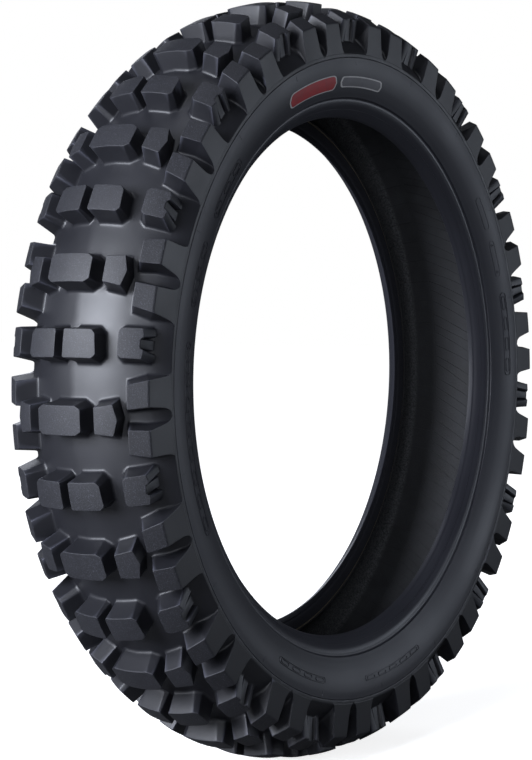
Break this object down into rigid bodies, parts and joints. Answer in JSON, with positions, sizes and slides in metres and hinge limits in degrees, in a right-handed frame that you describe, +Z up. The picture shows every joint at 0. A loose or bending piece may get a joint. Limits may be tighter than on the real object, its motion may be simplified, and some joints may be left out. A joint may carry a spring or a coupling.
{
  "type": "motorcycle tire",
  "caption": "Off-road motorcycle tire: toothed knob tread, sidewalls, steel bead rings and nylon body plies around an open rim hole.",
  "frame": {"origin": "tire centre: on the axle axis, midway between the two beads", "axes": "axle along Y, left sidewall towards +Y, tire standing upright with +Z up"},
  "size_m": [0.6658, 0.1372, 0.6664],
  "materials": {
    "tread_rubber": "satin black carbon-filled rubber",
    "sidewall_rubber": "smooth satin rubber",
    "bead_rubber": "smooth hard rubber",
    "liner_rubber": "matt, dusty",
    "nylon_cord": "rubber-coated cord fabric",
    "bead_fabric": "woven rubberised fabric",
    "bead_steel": "bronze-plated steel wire"
  },
  "bodies": {
    "root": {"tread": "tread_rubber", "under_tread": "liner_rubber", "breaker_ply_outer": "nylon_cord", "breaker_ply_inner": "nylon_cord", "body_ply_outer": "nylon_cord", "body_ply_inner": "nylon_cord", "inner_liner": "liner_rubber", "sidewall_left": "sidewall_rubber", "sidewall_right": "sidewall_rubber", "rim_cushion_left": "bead_rubber", "rim_cushion_right": "bead_rubber", "chafer_left": "bead_fabric", "chafer_right": "bead_fabric", "bead_wire_left": "bead_steel", "bead_wire_right": "bead_steel", "bead_wrap_left": "bead_fabric", "bead_wrap_right": "bead_fabric", "bead_filler_left": "liner_rubber", "bead_filler_right": "liner_rubber"}
  },
  "joints": []
}
